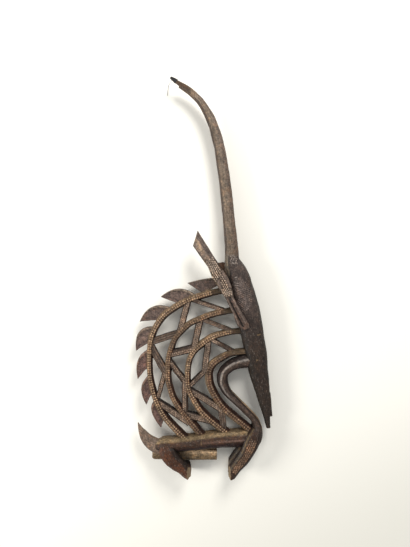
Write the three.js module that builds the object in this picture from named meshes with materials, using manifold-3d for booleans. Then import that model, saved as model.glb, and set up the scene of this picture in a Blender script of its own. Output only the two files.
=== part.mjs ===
import * as THREE from "three";
import { mergeVertices } from "three/addons/utils/BufferGeometryUtils.js";
import Module from "manifold-3d";

const wasm = await Module();
wasm.setup();

// Ciwara antelope crest, carved from one block of wood, lying on its far side.
// Millimetres. x runs from the tail to the face, y from the feet to the horn tips,
// and z from the ground up to the near side.
// The outlines are drawn about the middle of the figure, on its mid-plane.

const HALF_DEPTH = 30;
const DRAWING_MIDDLE = { x: -2.1, y: -5.5 };
const POINT_EMBED = 8;
const WELD = 0.02;

// Mane: four arcs, the struts between them and the flat points on the outer arc.
const ARC_HALF_DEPTH = 10;
const STRUT_HALF_DEPTH = 8;
const POINT_HALF_DEPTH = 5.5;
const POINT_BEVEL = 1.6;

// Ears: flat blades that lean against the cheeks. The far one stands nearer the horns
// and is broken off close to its root, at this height over the middle of the figure.
const EAR_THICKNESS = 11;
const EAR_BEVEL = 2.2;
const FAR_EAR_SHIFT = 18;
const FAR_EAR_BREAK = { y: 27, slant: 1.1 };

// Legs are broken off short. The breaks lie at these places, and slant by this much towards the mid-plane.
const FORE_LEG_BREAK = { x: 51, y: -440.6, slant: 0.15 };
const HIND_LEG_BREAK = { x: -30.6, y: -441.6, slant: 0.35 };
const LEG_MIDDLE_Z = 18.5;
const LEG_HALF_DEPTH = 11.5;
const LEG_INNER_Z = LEG_MIDDLE_Z - LEG_HALF_DEPTH;

// Side of the big cubes that cut away what lies beyond a break.
const CUT_SIZE = 160;

const NOSE_HOLE = { x: 143.5, y: -307, radius: 1.6 };
const EAR_GROOVE_DEPTH = 2;

// Thread wound round the tip of the near horn, and its loose end.
const BINDING_FROM = 0.875;
const BINDING_TO = 0.985;
const BINDING_WALL = 1.1;
const BINDING_GAP = 0.3;
const THREAD_DIAMETER = 1;

// Each row of a sweep is x, y, half width, half depth and height over the mid-plane.
const HORN = [
  [61.5, 12, 17, 9, 14],
  [59, 32, 14.8, 9, 14],
  [57, 73, 13.2, 8.8, 13.6],
  [53, 112, 12.4, 8.4, 13.2],
  [44, 198, 12, 8, 12.2],
  [32, 274, 10.7, 7.2, 10.8],
  [24, 306, 10, 6.6, 10],
  [15, 333, 8.8, 6, 9.2],
  [3, 358, 7.4, 5.4, 8.2],
  [-12, 380, 6.3, 4.8, 7.2],
  [-34, 401, 5.4, 4.2, 6.2],
  [-56, 415, 4.6, 3.6, 5.4],
  [-67, 423, 3.2, 2.8, 5],
  [-76, 429, 1.2, 1.4, 5],
];
const FAR_HORN_ROWS = 12;
const HORN_STEPS = 30;

const HEAD = [
  [60, 30, 14, 22, 0],
  [66, 13, 20, 23.5, 0],
  [74, -9, 24, 24, 0],
  [82, -40, 26, 24, 0],
  [91, -75, 27, 23.5, 0],
  [99, -110, 26.5, 22.5, 0],
  [106, -145, 24.6, 21, 0],
  [113, -183, 22.7, 19, 0],
  [118, -218, 20.7, 17, 0],
  [125, -251, 17, 14.5, 0],
  [130, -281, 12.6, 12, 0],
  [135, -309, 8.2, 9.5, 0],
  [139.2, -338, 4.2, 6.5, 0],
];

const NOSE = [
  [135, -262, 8.4, 10, 0],
  [141, -312, 6.8, 8, 0],
];

const NECK = [
  [108, -190, 15, 15, 0],
  [89, -192, 15, 16, 0],
  [71, -195.5, 13.4, 17, 0],
  [55, -203, 12.2, 17, 0],
  [42, -215, 12, 17, 0],
  [38, -231, 12, 17, 0],
  [41, -245, 11.6, 16.5, 0],
  [52, -263, 9.6, 16, 0],
  [80, -290, 8.5, 15.5, 0],
  [104, -314, 8.2, 16, 0],
  [112, -329, 9.6, 18, 0],
  [114, -343, 12.4, 20.5, 0],
  [110, -358, 15.5, 21, 0],
  [102, -372, 15, 17, 0],
];

const TORSO = [
  [-107, -377.5, 8.5, 14, 0],
  [-92, -375.5, 14.6, 22, 0],
  [-65, -374, 15.5, 24.5, 0],
  [-32, -370.5, 16.3, 25, 0],
  [0, -366.5, 17, 25, 0],
  [32, -363, 17.5, 25, 0],
  [63, -361, 18, 24.5, 0],
  [90, -360, 18, 23, 0],
  [108, -359, 15, 19, 0],
  [117, -360, 9, 13, 0],
];

const TAIL = [
  [-147, -327.5, 0.7, 2, 0],
  [-143, -339, 4.2, 3.6, 0],
  [-136, -352, 8.6, 5.4, 0],
  [-127, -364, 11.5, 7, 0],
  [-116, -373, 13.5, 9, 0],
  [-103, -379, 14, 12, 0],
  [-88, -379, 13, 13, 0],
];

const BELLY_ROD = [
  [-115, -395, 8.5, 7, 0],
  [-111, -395, 10.5, 8.5, 0],
  [-98, -395, 11, 8.5, 0],
  [-40, -395.5, 12, 8.5, 0],
  [26, -396.5, 10.5, 8.5, 0],
];

const FORE_LEG = [
  [112, -337, 9, 8, 10],
  [107.5, -350, 14.5, 10, 14.5],
  [100.5, -363, 16, LEG_HALF_DEPTH, LEG_MIDDLE_Z - 0.7],
  [93, -379.5, 14.5, LEG_HALF_DEPTH, LEG_MIDDLE_Z],
  [83, -396.5, 13.4, LEG_HALF_DEPTH, LEG_MIDDLE_Z],
  [70.5, -411.5, 12.3, LEG_HALF_DEPTH, LEG_MIDDLE_Z],
  [60, -425.5, 11.3, LEG_HALF_DEPTH, LEG_MIDDLE_Z],
  [47.5, -442, 10.8, LEG_HALF_DEPTH, LEG_MIDDLE_Z],
];

const HIND_LEG = [
  [-84, -367, 9, 7, 10],
  [-84, -374, 13.5, 10, 14.5],
  [-82, -382, 16.2, LEG_HALF_DEPTH, LEG_MIDDLE_Z - 0.7],
  [-78, -389.5, 16.6, LEG_HALF_DEPTH, LEG_MIDDLE_Z],
  [-71, -399, 16.2, LEG_HALF_DEPTH, LEG_MIDDLE_Z],
  [-61, -408.5, 14.2, LEG_HALF_DEPTH, LEG_MIDDLE_Z],
  [-50, -418, 11.8, LEG_HALF_DEPTH, LEG_MIDDLE_Z],
  [-39.5, -428, 10.3, LEG_HALF_DEPTH, LEG_MIDDLE_Z],
  [-25.5, -438, 9.8, LEG_HALF_DEPTH, LEG_MIDDLE_Z],
];

// Arcs of the mane from the outermost in: x, y and half width.
const ARCS = [
  {
    steps: 34,
    line: [
      [70, -33, 6.5], [30, -39, 7], [-5, -48, 7.5], [-37, -59, 7.3], [-65, -74, 7.6], [-88, -91, 7.7],
      [-103, -110, 7.4], [-114, -132, 7], [-119, -152, 6.9], [-121, -177, 6.3], [-121, -201, 6.1],
      [-119, -227, 6.2], [-114, -251, 6.4], [-108, -272, 6.9], [-98, -295, 7.4], [-85, -316, 8],
      [-69, -334, 8.3], [-41, -362, 8.3],
    ],
  },
  {
    steps: 30,
    line: [
      [81, -78, 6.5], [53, -82, 6.7], [18, -89, 7], [-8, -99, 7], [-32, -109, 7], [-50, -125, 6.8],
      [-65, -142, 6.6], [-73, -162, 6.7], [-79, -184, 6.9], [-80, -208, 7], [-80, -232, 7.1],
      [-74, -257, 7], [-65, -279, 7], [-51, -299, 7.8], [-36, -318, 8.4], [-21, -336, 8.5], [-1, -360, 8.5],
    ],
  },
  {
    steps: 27,
    line: [
      [98, -124, 6.5], [76, -126, 6.5], [46, -130, 6.7], [17, -139, 7.4], [-5, -153, 7.8], [-22, -168, 7.6],
      [-33, -187, 6.6], [-37, -210, 6.4], [-38, -234, 7.2], [-34, -256, 7.7], [-23, -277, 7.8],
      [-11, -296, 8.2], [5, -313, 8.3], [24, -329, 8.3], [54, -352, 8],
    ],
  },
  {
    steps: 24,
    line: [
      [102, -172, 7], [85, -171, 7], [58, -175, 7.2], [36, -185, 7.8], [19, -197, 8.5], [10, -211, 8.9],
      [9, -227, 9.1], [12, -245, 9], [21, -264, 8.7], [34, -284, 8.7], [51, -302, 8.7], [72, -319, 8.2],
      [105, -346, 8.1],
    ],
  },
];

// Struts in the three gaps between the arcs, from the outermost gap in: x, y and half width.
const STRUTS = [
  [
    [[-26, -58, 5], [41, -80, 5]],
    [[-35, -52, 7.4], [-56, -131, 7.4]],
    [[-126, -152, 7.6], [-54, -129, 7.6]],
    [[-124, -150, 7.6], [-82, -224, 7.6]],
    [[-88, -216, 5.5], [-106, -283, 5.5]],
    [[-107, -279, 7.4], [-76, -299, 7.4], [-34, -327, 7.4]],
  ],
  [
    [[-14, -97, 4.8], [60, -126, 4.8]],
    [[-10, -96, 7.6], [-25, -170, 7.6]],
    [[-80, -177, 8.5], [-22, -163, 8.5]],
    [[-84, -183, 6.8], [-63, -212, 6.8], [-34, -249, 6.8]],
    [[-44, -234, 7], [-44, -318, 7]],
    [[-56, -305, 7.9], [-20, -314, 7.9], [19, -324, 7.9]],
  ],
  [
    [[5, -139, 5], [66, -173, 5]],
    [[9, -135, 7.2], [-1, -216, 7.2]],
    [[14, -199, 5.9], [-41, -253, 5.9]],
    [[-39, -253, 7.2], [-2, -274, 7.2], [41, -301, 7.2]],
    [[35, -290, 7.2], [42, -354, 7.2]],
  ],
];

// Points of the mane: where the outer edge leaves the arc, the bulge that draws it out,
// the tip, and where the lower edge comes back to the arc.
const MANE_POINTS = [
  { root: [46, -9], bulge: [2, -7], tip: [-39, -21], notch: [-9, -40] },
  { root: [-22, -46], bulge: [-59, -18], tip: [-97, -51], notch: [-63, -64] },
  { root: [-79, -73], bulge: [-125, -59], tip: [-143, -105], notch: [-108, -102] },
  { root: [-112, -117], bulge: [-158, -113], tip: [-151, -169], notch: [-126, -153] },
  { root: [-127, -168], bulge: [-159, -185], tip: [-147, -231], notch: [-130, -210] },
  { root: [-127, -226], bulge: [-152, -251], tip: [-128, -287], notch: [-120, -268] },
  { root: [-113, -281], bulge: [-128, -301], tip: [-96, -337], notch: [-91, -322] },
];
const MANE_HEART = [-5, -200];

// The ear's blade, from its tip down its front edge to its root and back up.
const EAR = [
  [-16, 92], [24, 29], [34, 14], [49, -8], [58.5, -32], [61, -51], [67, -63], [94, -108], [95, -116],
  [90, -121], [83, -121], [69, -112], [60, -87], [45, -55], [30, -33], [17, -12], [6, 14], [-26, 59],
];
const EAR_GROOVE = [[62, -60], [86, -114], 1.7];

// Route of the loose thread: down from the winding to the ground, then along it.
const THREAD_ROUTE = [
  [-73.5, 426.3, 1.2], [-73.6, 426.4, -3], [-75, 427, -10], [-77.5, 428, -18], [-80, 428.6, -25],
  [-82, 427.4, -28.6], [-83.2, 423.5, -29.4], [-84.2, 415, -29.4], [-85.4, 403, -29.4],
];

const COLOURS = {
  wood: { color: 0x4a3b32, roughness: 0.62, metalness: 0 },
  thread: { color: 0x2e2c2b, roughness: 0.9, metalness: 0 },
};

// Point at share t of the way along a smooth curve through rows of numbers.
function along(rows, t) {
  const last = rows.length - 1;
  const place = Math.min(Math.max(t, 0), 1) * last;
  const index = Math.min(Math.floor(place), last - 1);
  const f = place - index;
  const before = rows[Math.max(index - 1, 0)];
  const start = rows[index];
  const end = rows[index + 1];
  const after = rows[Math.min(index + 2, last)];
  return start.map((value, k) => {
    const slopeIn = (end[k] - before[k]) / 2;
    const slopeOut = (after[k] - value) / 2;
    const rise = end[k] - value;
    return value + f * (slopeIn + f * (3 * rise - 2 * slopeIn - slopeOut + f * (slopeIn + slopeOut - 2 * rise)));
  });
}

// Closed ring of a bevelled bar: squareness 2 is an ellipse, and higher is squarer.
function ring(sides, squareness) {
  const points = [];
  for (let side = 0; side < sides; side++) {
    const angle = ((side + 0.5) / sides) * 2 * Math.PI;
    const [c, s] = [Math.cos(angle), Math.sin(angle)];
    points.push([
      Math.sign(c) * Math.abs(c) ** (2 / squareness),
      Math.sign(s) * Math.abs(s) ** (2 / squareness),
    ]);
  }
  const reach = Math.max(...points.map(([across]) => across));
  return points.map(([across, deep]) => [across / reach, deep / reach]);
}

const BAR_RING = ring(8, 6);
const LIMB_RING = ring(12, 3.2);
const HEAD_RING = ring(16, 3.2);

// Torso seen from its end: a crowned back with a ridge at each side over flat flanks.
const TORSO_RING = [
  [1, 0], [0.87, 0.45], [0.55, 0.88], [0.25, 1], [-0.6, 0.84], [-0.95, 0.5],
  [-1, 0], [-0.95, -0.5], [-0.6, -0.84], [0.25, -1], [0.55, -0.88], [0.87, -0.45],
];

function toSolid(geometry) {
  const bare = geometry.clone();
  bare.deleteAttribute("normal");
  bare.deleteAttribute("uv");
  const merged = mergeVertices(bare, 1e-4);
  return new wasm.Manifold(new wasm.Mesh({
    numProp: 3,
    vertProperties: Float32Array.from(merged.attributes.position.array),
    triVerts: Uint32Array.from(merged.index.array),
    tolerance: WELD,
  }));
}

function toGeometry(solid) {
  const mesh = solid.getMesh();
  const geometry = new THREE.BufferGeometry();
  geometry.setAttribute("position", new THREE.BufferAttribute(mesh.vertProperties, 3));
  geometry.setIndex(new THREE.BufferAttribute(mesh.triVerts, 1));
  geometry.computeVertexNormals();
  return geometry;
}

// Solid swept along rows of x, y, half width, half depth and height, flat at both ends.
// It keeps inside the flat sides of the block the crest was carved from.
function sweep(rows, steps, unitRing) {
  const sides = unitRing.length;
  const positions = [];
  for (let step = 0; step <= steps; step++) {
    const t = step / steps;
    const [x, y, width, depth, height] = along(rows, t);
    const ahead = along(rows, t + 0.01);
    const behind = along(rows, t - 0.01);
    const run = Math.hypot(ahead[0] - behind[0], ahead[1] - behind[1]);
    const acrossX = -(ahead[1] - behind[1]) / run;
    const acrossY = (ahead[0] - behind[0]) / run;
    for (const [across, deep] of unitRing) {
      const z = Math.min(Math.max(height + depth * deep, -HALF_DEPTH), HALF_DEPTH);
      positions.push(x + acrossX * width * across, y + acrossY * width * across, z);
    }
  }
  const triangles = [];
  for (let step = 0; step < steps; step++) {
    for (let side = 0; side < sides; side++) {
      const next = (side + 1) % sides;
      const [a, b] = [step * sides + side, step * sides + next];
      triangles.push(a, b, b + sides, a, b + sides, a + sides);
    }
  }
  const end = steps * sides;
  for (let side = 1; side < sides - 1; side++) {
    triangles.push(0, side + 1, side, end, end + side, end + side + 1);
  }
  const geometry = new THREE.BufferGeometry();
  geometry.setAttribute("position", new THREE.Float32BufferAttribute(positions, 3));
  geometry.setIndex(triangles);
  return toSolid(geometry);
}

function bar(line, steps, halfDepth) {
  return sweep(line.map(([x, y, width]) => [x, y, width, halfDepth, 0]), steps, BAR_RING);
}

// Flat outline with bevelled edges, its middle at the given height.
function plate(shape, thickness, bevel, height, curveSegments) {
  const geometry = new THREE.ExtrudeGeometry(shape, {
    depth: thickness - 2 * bevel,
    bevelEnabled: bevel > 0,
    bevelThickness: bevel,
    bevelSize: bevel,
    bevelOffset: -bevel,
    bevelSegments: 1,
    curveSegments,
  });
  geometry.translate(0, 0, height - thickness / 2 + bevel);
  return toSolid(geometry);
}

// Round-ended slot between two points.
function slot([x0, y0], [x1, y1], radius) {
  const heading = Math.atan2(y1 - y0, x1 - x0);
  const shape = new THREE.Shape();
  shape.absarc(x1, y1, radius, heading - Math.PI / 2, heading + Math.PI / 2);
  shape.absarc(x0, y0, radius, heading + Math.PI / 2, heading + 1.5 * Math.PI);
  return shape;
}

// Big cube on the side of a plane that its normal points to.
function beyond(place, normal) {
  const up = new THREE.Vector3(0, 0, 1);
  const outward = new THREE.Vector3(...normal).normalize();
  const geometry = new THREE.BoxGeometry(CUT_SIZE, CUT_SIZE, CUT_SIZE);
  geometry.translate(0, 0, CUT_SIZE / 2);
  geometry.applyQuaternion(new THREE.Quaternion().setFromUnitVectors(up, outward));
  geometry.translate(...place);
  return toSolid(geometry);
}

function mirrored(rows) {
  return rows.map(([x, y, width, depth, height]) => [x, y, width, depth, -height]);
}

function grown(rows, extra) {
  return rows.map(([x, y, width, depth, height]) => [x, y, width + extra, depth + extra, height]);
}

function towards([x, y], [goalX, goalY], distance) {
  const run = Math.hypot(goalX - x, goalY - y);
  return [x + ((goalX - x) * distance) / run, y + ((goalY - y) * distance) / run];
}

function manePoint({ root, bulge, tip, notch }) {
  const shape = new THREE.Shape();
  shape.moveTo(...root);
  shape.quadraticCurveTo(...bulge, ...tip);
  shape.lineTo(...notch);
  shape.lineTo(...towards(notch, MANE_HEART, POINT_EMBED));
  shape.lineTo(...towards(root, MANE_HEART, POINT_EMBED));
  return plate(shape, 2 * POINT_HALF_DEPTH, POINT_BEVEL, 0, 9);
}

// Slab that fills the gap between the centre lines of two neighbouring arcs.
function gapSlab(outer, inner) {
  const edge = ({ line, steps }) => Array.from({ length: steps + 1 }, (_, step) => {
    const [x, y] = along(line, step / steps);
    return new THREE.Vector2(x, y);
  });
  const shape = new THREE.Shape([...edge(outer), ...edge(inner).reverse()]);
  return plate(shape, 2 * STRUT_HALF_DEPTH + 2, 0, 0, 1);
}

function strutsIn(gap) {
  const struts = STRUTS[gap].map((line) => bar(line, line.length - 1, STRUT_HALF_DEPTH));
  const joined = struts.reduce((whole, strut) => whole.add(strut));
  return joined.intersect(gapSlab(ARCS[gap], ARCS[gap + 1]));
}

function mane() {
  const arcs = ARCS.map(({ line, steps }) => bar(line, steps, ARC_HALF_DEPTH));
  const struts = STRUTS.map((_, gap) => strutsIn(gap));
  return [...arcs, ...struts, ...MANE_POINTS.map(manePoint)];
}

function horns() {
  const nearHorn = sweep(HORN, HORN_STEPS, BAR_RING);
  const farHorn = sweep(mirrored(HORN.slice(0, FAR_HORN_ROWS)), 26, BAR_RING);
  return [nearHorn, farHorn];
}

function ears() {
  const shape = new THREE.Shape(EAR.map(([x, y]) => new THREE.Vector2(x, y)));
  const grooveOutline = slot(...EAR_GROOVE);
  const [nearEar, farEar] = [1, -1].map((side) => {
    const blade = plate(shape, EAR_THICKNESS, EAR_BEVEL, side * (HALF_DEPTH - EAR_THICKNESS / 2), 1);
    return blade.subtract(plate(grooveOutline, 2 * EAR_GROOVE_DEPTH, 0, side * HALF_DEPTH, 4));
  });
  const lost = beyond([0, FAR_EAR_BREAK.y, -HALF_DEPTH], [0, 1, FAR_EAR_BREAK.slant]);
  return [nearEar, farEar.translate([FAR_EAR_SHIFT, 0, 0]).subtract(lost)];
}

function head() {
  const nostril = new THREE.CylinderGeometry(NOSE_HOLE.radius, NOSE_HOLE.radius, 60, 10);
  nostril.rotateX(Math.PI / 2);
  nostril.translate(NOSE_HOLE.x, NOSE_HOLE.y, 0);
  const skull = sweep(HEAD, 24, HEAD_RING).add(sweep(NOSE, 1, BAR_RING));
  return skull.subtract(toSolid(nostril));
}

// Leg cut off below its break, and before or behind it: forward is 1 where the leg points to the face.
function brokenLeg(rows, { x, y, slant }, forward, side) {
  const lower = beyond([x, y, 0], [0, -1, 0]);
  const lost = beyond([x, y, side * LEG_INNER_Z], [forward, 0, side * slant]);
  return sweep(rows, 9, BAR_RING).subtract(lower).subtract(lost);
}

function legs() {
  return [1, -1].flatMap((side) => [
    brokenLeg(side > 0 ? FORE_LEG : mirrored(FORE_LEG), FORE_LEG_BREAK, -1, side),
    brokenLeg(side > 0 ? HIND_LEG : mirrored(HIND_LEG), HIND_LEG_BREAK, 1, side),
  ]);
}

function crest() {
  const pieces = [
    ...horns(),
    head(),
    ...ears(),
    ...mane(),
    sweep(NECK, 26, LIMB_RING),
    sweep(TORSO, 14, TORSO_RING),
    sweep(TAIL, 10, BAR_RING),
    sweep(BELLY_ROD, 6, BAR_RING),
    ...legs(),
  ];
  return pieces.reduce((whole, piece) => whole.add(piece));
}

function tipBinding() {
  const rows = Array.from({ length: 5 }, (_, k) => along(HORN, BINDING_FROM + (k / 4) * (BINDING_TO - BINDING_FROM)));
  const winding = sweep(grown(rows, BINDING_GAP + BINDING_WALL), 4, BAR_RING);
  return toGeometry(winding.subtract(sweep(grown(HORN, BINDING_GAP), HORN_STEPS, BAR_RING)));
}

function threadEnd() {
  const section = new THREE.Shape();
  section.absarc(0, 0, THREAD_DIAMETER / 2, 0, 2 * Math.PI);
  const route = new THREE.CatmullRomCurve3(THREAD_ROUTE.map((point) => new THREE.Vector3(...point)));
  return new THREE.ExtrudeGeometry(section, { steps: 26, curveSegments: 4, extrudePath: route });
}

function named(name, geometry, colour) {
  const mesh = new THREE.Mesh(geometry, new THREE.MeshStandardMaterial(COLOURS[colour]));
  mesh.name = name;
  return mesh;
}

const part = new THREE.Group();
part.name = "ciwara_crest";
part.position.set(-DRAWING_MIDDLE.x, -DRAWING_MIDDLE.y, HALF_DEPTH);
part.add(named("crest", toGeometry(crest()), "wood"));
part.add(named("tip_binding", tipBinding(), "thread"));
part.add(named("thread_end", threadEnd(), "thread"));

export default part;
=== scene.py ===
import math
import random

import bpy
import numpy as np
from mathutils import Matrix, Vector, noise
from mathutils.bvhtree import BVHTree


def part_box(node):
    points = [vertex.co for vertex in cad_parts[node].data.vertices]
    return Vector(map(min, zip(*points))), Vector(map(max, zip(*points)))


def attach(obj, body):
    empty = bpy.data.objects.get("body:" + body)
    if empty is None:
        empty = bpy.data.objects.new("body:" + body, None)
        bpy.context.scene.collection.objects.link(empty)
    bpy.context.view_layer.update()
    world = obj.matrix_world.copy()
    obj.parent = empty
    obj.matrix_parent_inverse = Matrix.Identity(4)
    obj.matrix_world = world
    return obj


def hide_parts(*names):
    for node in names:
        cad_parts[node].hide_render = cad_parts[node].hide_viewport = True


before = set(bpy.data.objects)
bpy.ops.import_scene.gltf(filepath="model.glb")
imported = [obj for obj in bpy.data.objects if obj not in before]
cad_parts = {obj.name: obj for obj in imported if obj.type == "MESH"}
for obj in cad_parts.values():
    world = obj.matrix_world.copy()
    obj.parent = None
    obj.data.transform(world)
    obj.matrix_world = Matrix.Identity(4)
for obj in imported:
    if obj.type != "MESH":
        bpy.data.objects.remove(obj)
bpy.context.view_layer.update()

# Without a seed, the noise that warps the carving would start from the clock.
NOISE_SEED = 7
noise.seed_set(NOISE_SEED)

SHARP_DEGREES = 38

# The warp's length in metres and its reach in millimetres, and what counts as lying on the ground.
WARP_LENGTH = 0.021
WARP = (0.5, 0.5, 0.3)
ON_GROUND = 2e-5
FLOOR_GAP = 0.0002

# Lengths are in millimetres in the drawing of the crest: x towards the face, y towards the horn tips,
# both from the middle of the figure, and z up from its middle plane. Blender's own are in metres.
MM = 0.001
DRAWING_MIDDLE = (-2.1, -5.5)
crest_low, crest_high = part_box("crest")
HALF_DEPTH = (crest_high.z - crest_low.z) / 2 / MM

CAMERA_HEIGHT = 956
FIELD_OF_VIEW = math.radians(66)
SENSOR = 36

# How bright a white upward face would show, times white, under each light alone.
SKY = 0.55
KEY = 0.45
FILL = 0.35

# What the gloss of the wood adds to its colour.
SHINE = 0.013

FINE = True

# Each row of a sweep is x, y, half width, half depth and height over the middle plane.
HORN = [
    (61.5, 12, 17, 9, 14), (59, 32, 14.8, 9, 14), (57, 73, 13.2, 8.8, 13.6), (53, 112, 12.4, 8.4, 13.2),
    (44, 198, 12, 8, 12.2), (32, 274, 10.7, 7.2, 10.8), (24, 306, 10, 6.6, 10), (15, 333, 8.8, 6, 9.2),
    (3, 358, 7.4, 5.4, 8.2), (-12, 380, 6.3, 4.8, 7.2), (-34, 401, 5.4, 4.2, 6.2), (-56, 415, 4.6, 3.6, 5.4),
    (-67, 423, 3.2, 2.8, 5), (-76, 429, 1.2, 1.4, 5),
]
HORN_FOOT = (73, -28, 13, 6, 9)
FAR_HORN_ROWS = 12
HORN_PLAIN_BELOW = 42
HORN_BEND = 350
HORN_BAND_X = -25
HORN_TIP_X = -32
HEAD = [
    (60, 30, 14, 22, 0), (66, 13, 20, 23.5, 0), (74, -9, 24, 24, 0), (82, -40, 26, 24, 0),
    (91, -75, 27, 23.5, 0), (99, -110, 26.5, 22.5, 0), (106, -145, 24.6, 21, 0), (113, -183, 22.7, 19, 0),
    (118, -218, 20.7, 17, 0), (125, -251, 17, 14.5, 0), (130, -281, 12.6, 12, 0), (135, -309, 8.2, 9.5, 0),
    (139.2, -338, 4.2, 6.5, 0),
]
NOSE = [(135, -262, 8.4, 10, 0), (141, -312, 6.8, 8, 0)]
NECK = [
    (108, -190, 15, 15, 0), (89, -192, 15, 16, 0), (71, -195.5, 13.4, 17, 0), (55, -203, 12.2, 17, 0),
    (42, -215, 12, 17, 0), (38, -231, 12, 17, 0), (41, -245, 11.6, 16.5, 0), (52, -263, 9.6, 16, 0),
    (80, -290, 8.5, 15.5, 0), (104, -314, 8.2, 16, 0), (112, -329, 9.6, 18, 0), (114, -343, 12.4, 20.5, 0),
    (110, -358, 15.5, 21, 0), (102, -372, 15, 17, 0),
]
TORSO = [
    (-107, -377.5, 8.5, 14, 0), (-92, -375.5, 14.6, 22, 0), (-65, -374, 15.5, 24.5, 0),
    (-32, -370.5, 16.3, 25, 0), (0, -366.5, 17, 25, 0), (32, -363, 17.5, 25, 0), (63, -361, 18, 24.5, 0),
    (90, -360, 18, 23, 0), (108, -359, 15, 19, 0), (117, -360, 9, 13, 0),
]
TAIL = [
    (-147, -327.5, 0.7, 2, 0), (-143, -339, 4.2, 3.6, 0), (-136, -352, 8.6, 5.4, 0), (-127, -364, 11.5, 7, 0),
    (-116, -373, 13.5, 9, 0), (-103, -379, 14, 12, 0), (-88, -379, 13, 13, 0),
]
BELLY_ROD = [
    (-115, -395, 8.5, 7, 0), (-111, -395, 10.5, 8.5, 0), (-98, -395, 11, 8.5, 0), (-40, -395.5, 12, 8.5, 0),
    (26, -396.5, 10.5, 8.5, 0),
]
LEG_MIDDLE_Z = 18
LEG_HALF_DEPTH = 11


def leg_rows(hip, shank):
    """Rows of a leg: its hip as given, then x, y and half width down its evenly deep shank."""
    return [*hip, *((x, y, width, LEG_HALF_DEPTH, LEG_MIDDLE_Z) for x, y, width in shank)]


FORE_LEG = leg_rows(
    [(112, -337, 9, 8, 10), (107.5, -350, 14.5, 10, 14.5), (100.5, -363, 16, 11, 17.3)],
    [(93, -379.5, 14.5), (83, -396.5, 13.4), (70.5, -411.5, 12.3), (60, -425.5, 11.3), (47.5, -442, 10.8)])
HIND_LEG = leg_rows(
    [(-84, -367, 9, 7, 10), (-84, -374, 13.5, 10, 14.5), (-82, -382, 16.2, 11, 17.3)],
    [(-78, -389.5, 16.6), (-71, -399, 16.2), (-61, -408.5, 14.2), (-50, -418, 11.8), (-39.5, -428, 10.3),
     (-25.5, -438, 9.8)])

# Breaks: where they lie, and how far they slant towards the middle plane.
LEG_INNER_Z = LEG_MIDDLE_Z - LEG_HALF_DEPTH
FORE_LEG_BREAK = (51, -440.6, 0.15)
HIND_LEG_BREAK = (-30.6, -441.6, 0.35)
FAR_EAR_SHIFT = 18
FAR_EAR_BREAK = (27, 1.1)

ARC_HALF_DEPTH = 10
STRUT_HALF_DEPTH = 8
POINT_HALF_DEPTH = 5.5
POINT_EMBED = 8

# Arcs of the mane from the outermost in: x, y and half width. Their beads start left of beads_from.
ARCS = [
    {"beads_from": 15, "bars": (-193, -166), "line": [
        (70, -33, 6.5), (30, -39, 7), (-5, -48, 7.5), (-37, -59, 7.3), (-65, -74, 7.6), (-88, -91, 7.7),
        (-103, -110, 7.4), (-114, -132, 7), (-119, -152, 6.9), (-121, -177, 6.3), (-121, -201, 6.1),
        (-119, -227, 6.2), (-114, -251, 6.4), (-108, -272, 6.9), (-98, -295, 7.4), (-85, -316, 8),
        (-69, -334, 8.3), (-41, -362, 8.3)]},
    {"beads_from": 37, "beads": "dull bead", "line": [
        (81, -78, 6.5), (53, -82, 6.7), (18, -89, 7), (-8, -99, 7), (-32, -109, 7), (-50, -125, 6.8),
        (-65, -142, 6.6), (-73, -162, 6.7), (-79, -184, 6.9), (-80, -208, 7), (-80, -232, 7.1),
        (-74, -257, 7), (-65, -279, 7), (-51, -299, 7.8), (-36, -318, 8.4), (-21, -336, 8.5),
        (-1, -360, 8.5)]},
    {"beads_from": 59, "bars": (-212, -199), "line": [
        (98, -124, 6.5), (76, -126, 6.5), (46, -130, 6.7), (17, -139, 7.4), (-5, -153, 7.8), (-22, -168, 7.6),
        (-33, -187, 6.6), (-37, -210, 6.4), (-38, -234, 7.2), (-34, -256, 7.7), (-23, -277, 7.8),
        (-11, -296, 8.2), (5, -313, 8.3), (24, -329, 8.3), (54, -352, 8)]},
    {"beads_from": 46, "beads": "dull bead", "line": [
        (102, -172, 7), (85, -171, 7), (58, -175, 7.2), (36, -185, 7.8), (19, -197, 8.5), (10, -211, 8.9),
        (9, -227, 9.1), (12, -245, 9), (21, -264, 8.7), (34, -284, 8.7), (51, -302, 8.7), (72, -319, 8.2),
        (105, -346, 8.1)]},
]

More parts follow.
